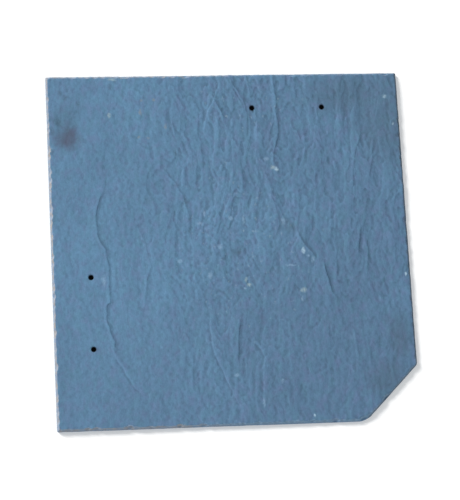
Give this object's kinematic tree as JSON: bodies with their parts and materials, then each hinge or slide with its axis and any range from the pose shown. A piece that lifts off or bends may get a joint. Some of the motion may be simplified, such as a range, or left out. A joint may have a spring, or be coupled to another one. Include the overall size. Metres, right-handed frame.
{
  "type": "slate roof tile",
  "caption": "Thin square riven slate roof tile with one clipped corner, a dressed bevel round its face and punched nail holes beside two edges.",
  "frame": {"origin": "middle of the square blank on the bed, the underside that lies on the roof or the floor", "axes": "+Z out of the riven face; +X and +Y along the sides of the square, with the clipped corner at +X -Y and the upper left corner, from which the nail holes are measured, at -X +Y"},
  "size_m": [0.3, 0.3, 0.005],
  "materials": {
    "slate": "blue-grey natural slate, riven face, matt with a faint silky sheen, paler and tan where the edges are freshly dressed"
  },
  "bodies": {
    "root": {"slate_tile": "slate"}
  },
  "joints": []
}
